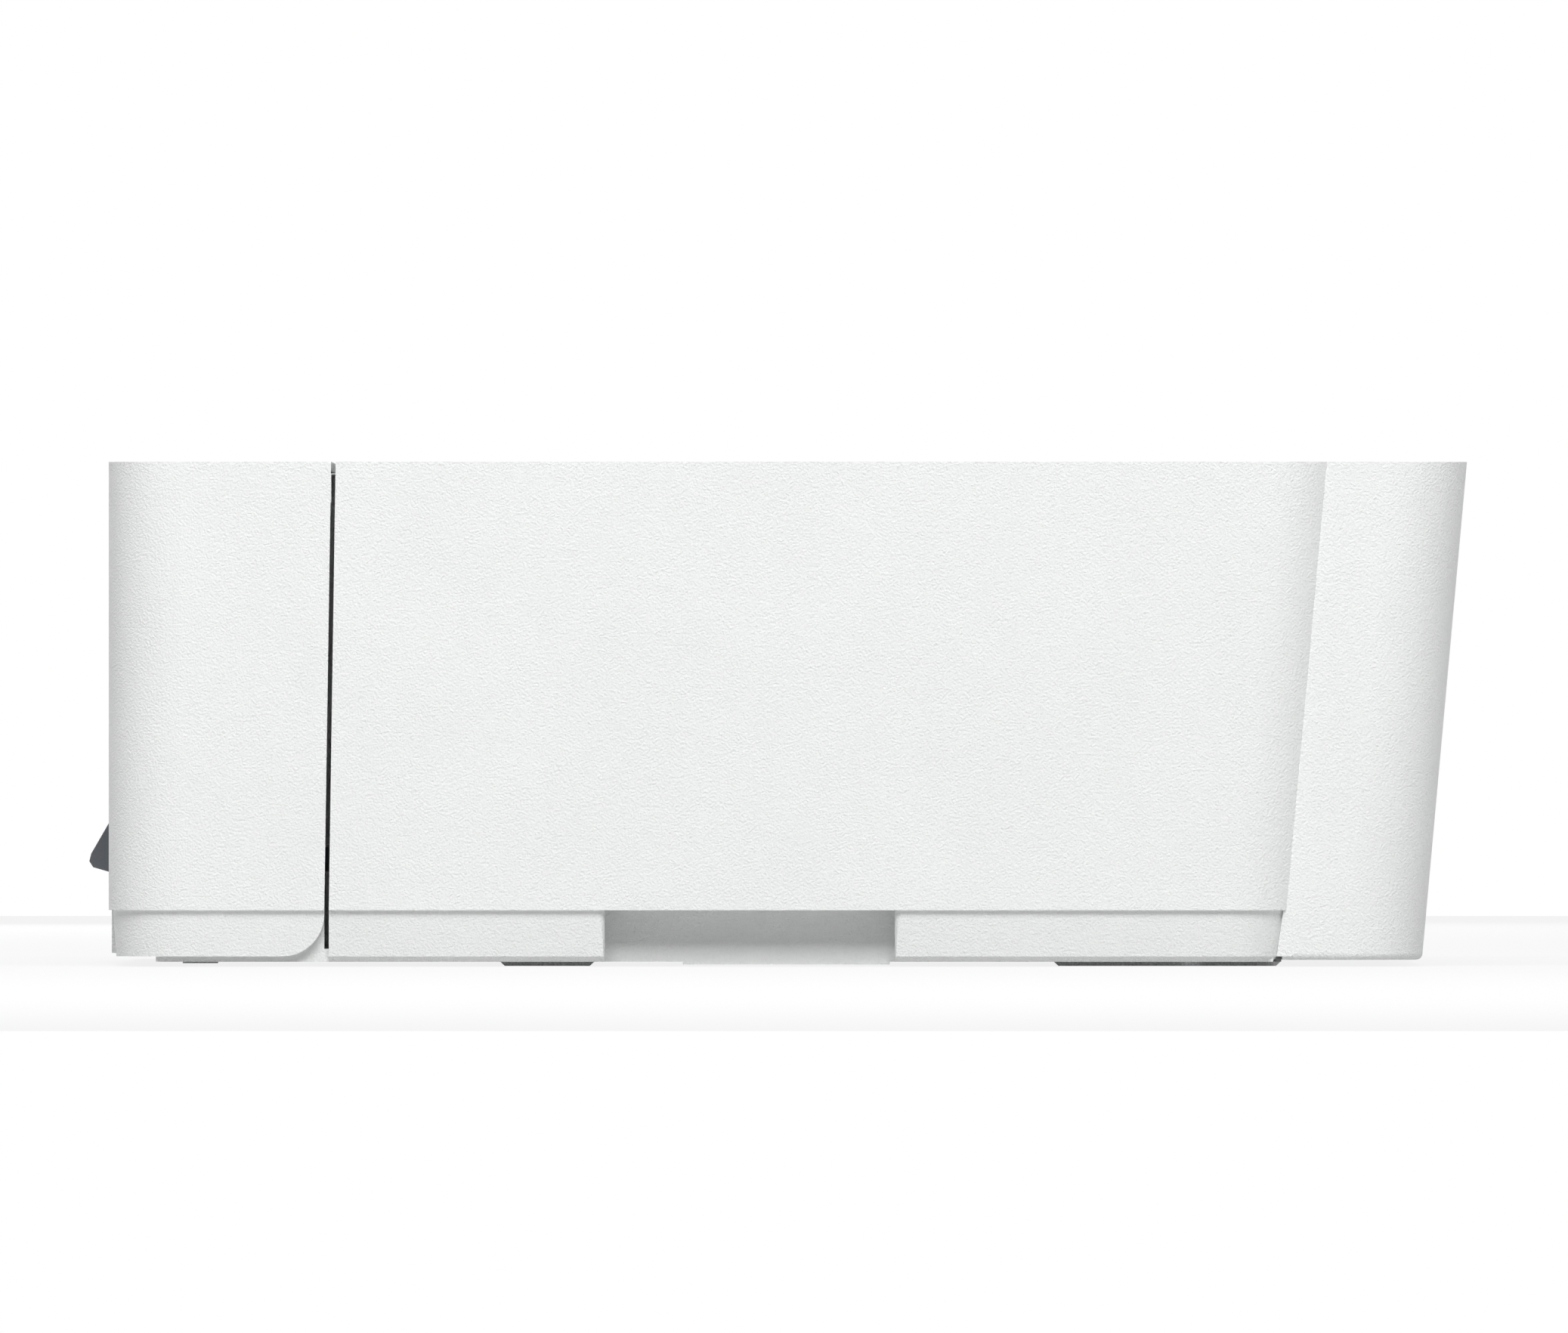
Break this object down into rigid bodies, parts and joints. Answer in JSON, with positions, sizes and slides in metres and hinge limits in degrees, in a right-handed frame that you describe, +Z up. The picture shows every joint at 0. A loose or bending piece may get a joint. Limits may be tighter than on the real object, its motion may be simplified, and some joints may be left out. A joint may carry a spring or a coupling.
{
  "type": "inkjet printer",
  "caption": "White slim all-in-one inkjet printer with a flush scanner lid, front paper tray, grey output extender, drop-down doors and a working print carriage, rollers and gears",
  "frame": {"origin": "middle of the footprint on the surface the feet stand on", "axes": "+Z up, the front faces -Y, +X is the user's right when seen from behind the front, that is to the right in a front view"},
  "size_m": [0.432, 0.3626, 0.132],
  "materials": {
    "white_shell": "fine moulded grain",
    "slate_plastic": "satin",
    "grey_plastic": "satin",
    "black_plastic": "satin",
    "colour_plastic": "satin",
    "gloss_black": "gloss",
    "glass": "clear",
    "rubber": "matte",
    "steel": "brushed",
    "foam": "soft",
    "board": "lacquered"
  },
  "bodies": {
    "housing": {"base_case": "white_shell", "carriage_belt": "rubber", "carriage_motor": "steel", "carriage_rod": "steel", "case_screws": "steel", "control_panel": "gloss_black", "feed_motor": "steel", "front_cover": "white_shell", "front_feet": "rubber", "ink_absorber": "foam", "left_side_panel": "white_shell", "lid_hinges": "grey_plastic", "main_board": "board", "output_tray": "slate_plastic", "platen": "grey_plastic", "power_inlet": "black_plastic", "power_supply": "black_plastic", "print_frame": "steel", "rear_cover": "white_shell", "rear_feet": "rubber", "rear_guide": "grey_plastic", "right_side_panel": "white_shell", "scan_rod": "steel", "scanner_bed": "slate_plastic", "scanner_glass": "glass", "service_station": "grey_plastic", "usb_port": "steel"},
    "lid": {"scanner_lid": "white_shell", "lid_backing": "foam"},
    "scan_bar": {"scan_carriage": "black_plastic", "scan_lens": "glass"},
    "front_door": {"access_door": "white_shell"},
    "rear_door": {"rear_access_door": "white_shell"},
    "carriage": {"print_carriage": "black_plastic", "ink_cartridge_black": "black_plastic", "ink_cartridge_colour": "colour_plastic"},
    "latch_black": {"cartridge_latch_black": "colour_plastic"},
    "latch_colour": {"cartridge_latch_colour": "colour_plastic"},
    "drive_pulley": {"belt_drive_pulley": "black_plastic"},
    "idler_pulley": {"belt_idler_pulley": "black_plastic"},
    "feed": {"feed_roller": "rubber"},
    "eject": {"eject_roller": "rubber"},
    "idler": {"idler_gear": "black_plastic"},
    "pinion": {"motor_pinion": "black_plastic"},
    "pinch": {"pinch_rollers": "rubber"},
    "stars": {"star_wheels": "black_plastic"},
    "turn": {"turn_roller": "rubber"},
    "pick": {"pick_arm": "grey_plastic"},
    "pick_tyres": {"pick_roller": "rubber"},
    "sled": {"cap_sled": "black_plastic"},
    "tray": {"paper_tray": "grey_plastic", "tray_front": "white_shell"},
    "guide_right": {"width_guide_right": "grey_plastic"},
    "guide_left": {"width_guide_left": "grey_plastic"},
    "guide_gear": {"guide_pinion": "grey_plastic"},
    "paper_stop": {"length_guide": "grey_plastic"},
    "extender": {"output_extender": "slate_plastic"},
    "power_key": {"power_button": "gloss_black"},
    "wireless_key": {"wireless_button": "gloss_black"}
  },
  "joints": [
    {"name": "lid_hinge", "type": "hinge", "parent": "housing", "child": "lid", "pos_m": [0, 0.14605, 0.127], "axis": [-1, 0, 0], "range_deg": [0, 75]},
    {"name": "scan_slide", "type": "slide", "parent": "housing", "child": "scan_bar", "axis": [1, 0, 0], "range_m": [0, 0.276]},
    {"name": "front_door_hinge", "type": "hinge", "parent": "housing", "child": "front_door", "pos_m": [0, -0.17245, 0.0669], "axis": [1, 0, 0], "range_deg": [0, 88]},
    {"name": "rear_door_hinge", "type": "hinge", "parent": "housing", "child": "rear_door", "pos_m": [0, 0.17039, 0.03749], "axis": [-1, 0, 0], "range_deg": [0, 80]},
    {"name": "carriage_slide", "type": "slide", "parent": "housing", "child": "carriage", "axis": [1, 0, 0], "range_m": [-0.276, 0]},
    {"name": "black_latch_hinge", "type": "hinge", "parent": "carriage", "child": "latch_black", "pos_m": [0, -0.09, 0.078], "axis": [1, 0, 0], "range_deg": [0, 50]},
    {"name": "colour_latch_hinge", "type": "hinge", "parent": "carriage", "child": "latch_colour", "pos_m": [0, -0.09, 0.078], "axis": [1, 0, 0], "range_deg": [0, 50]},
    {"name": "drive_pulley_spin", "type": "hinge", "parent": "housing", "child": "drive_pulley", "pos_m": [-0.168, -0.013, 0.082], "axis": [0, 1, 0], "range_deg": [0, 2400]},
    {"name": "idler_pulley_spin", "type": "hinge", "parent": "housing", "child": "idler_pulley", "pos_m": [0.168, -0.013, 0.082], "axis": [0, 1, 0], "range_deg": [0, 2400]},
    {"name": "feed_spin", "type": "hinge", "parent": "housing", "child": "feed", "pos_m": [0, -0.016, 0.05], "axis": [1, 0, 0], "continuous": true},
    {"name": "eject_spin", "type": "hinge", "parent": "housing", "child": "eject", "pos_m": [0, -0.094, 0.05], "axis": [1, 0, 0], "continuous": true},
    {"name": "idler_spin", "type": "hinge", "parent": "housing", "child": "idler", "pos_m": [0, -0.055, 0.04134], "axis": [1, 0, 0], "continuous": true},
    {"name": "pinion_spin", "type": "hinge", "parent": "housing", "child": "pinion", "pos_m": [0, -0.00322, 0.02788], "axis": [1, 0, 0], "continuous": true},
    {"name": "pinch_spin", "type": "hinge", "parent": "housing", "child": "pinch", "pos_m": [0, -0.016, 0.0589], "axis": [1, 0, 0], "continuous": true},
    {"name": "star_spin", "type": "hinge", "parent": "housing", "child": "stars", "pos_m": [0, -0.094, 0.0594], "axis": [1, 0, 0], "continuous": true},
    {"name": "turn_spin", "type": "hinge", "parent": "housing", "child": "turn", "pos_m": [0, 0.11821, 0.05], "axis": [1, 0, 0], "continuous": true},
    {"name": "pick_arm_hinge", "type": "hinge", "parent": "housing", "child": "pick", "pos_m": [0, 0.03221, 0.036], "axis": [-1, 0, 0], "range_deg": [0, 15]},
    {"name": "pick_roller_spin", "type": "hinge", "parent": "pick", "child": "pick_tyres", "pos_m": [0, 0.07821, 0.032], "axis": [1, 0, 0], "continuous": true},
    {"name": "sled_slide", "type": "slide", "parent": "housing", "child": "sled", "axis": [0, 1, 0], "range_m": [0, 0.008]},
    {"name": "tray_slide", "type": "slide", "parent": "housing", "child": "tray", "axis": [0, -1, 0], "range_m": [0, 0.2]},
    {"name": "right_guide_slide", "type": "slide", "parent": "tray", "child": "guide_right", "axis": [-1, 0, 0], "range_m": [0, 0.054]},
    {"name": "left_guide_slide", "type": "slide", "parent": "tray", "child": "guide_left", "axis": [1, 0, 0], "range_m": [0, 0.054]},
    {"name": "guide_pinion_spin", "type": "hinge", "parent": "tray", "child": "guide_gear", "pos_m": [0, 0.01, 0.0095], "axis": [0, 0, 1], "range_deg": [0, 360]},
    {"name": "length_guide_slide", "type": "slide", "parent": "tray", "child": "paper_stop", "axis": [0, 1, 0], "range_m": [0, 0.11]},
    {"name": "extender_slide", "type": "slide", "parent": "housing", "child": "extender", "axis": [0, -1, 0], "range_m": [0, 0.055]},
    {"name": "power_button_press", "type": "slide", "parent": "housing", "child": "power_key", "axis": [0, -0.9959, 0.0901], "range_m": [0, 0.0012], "stiffness_N_per_m": 500},
    {"name": "wireless_button_press", "type": "slide", "parent": "housing", "child": "wireless_key", "axis": [0, -0.9959, 0.0901], "range_m": [0, 0.0012], "stiffness_N_per_m": 500}
  ],
  "couplings": [
    {"joint": "drive_pulley_spin", "follows": "carriage_slide", "rad_per_m": -151.52},
    {"joint": "idler_pulley_spin", "follows": "carriage_slide", "rad_per_m": -151.52},
    {"joint": "eject_spin", "follows": "feed_spin", "ratio": 1},
    {"joint": "idler_spin", "follows": "feed_spin", "ratio": -0.83333},
    {"joint": "pinion_spin", "follows": "feed_spin", "ratio": -2.5},
    {"joint": "pinch_spin", "follows": "feed_spin", "ratio": -1.8333},
    {"joint": "star_spin", "follows": "feed_spin", "ratio": -1.5714},
    {"joint": "turn_spin", "follows": "feed_spin", "ratio": 0.275},
    {"joint": "pick_roller_spin", "follows": "feed_spin", "ratio": 0.61111},
    {"joint": "left_guide_slide", "follows": "right_guide_slide", "ratio": 1},
    {"joint": "guide_pinion_spin", "follows": "right_guide_slide", "rad_per_m": 114.29}
  ]
}
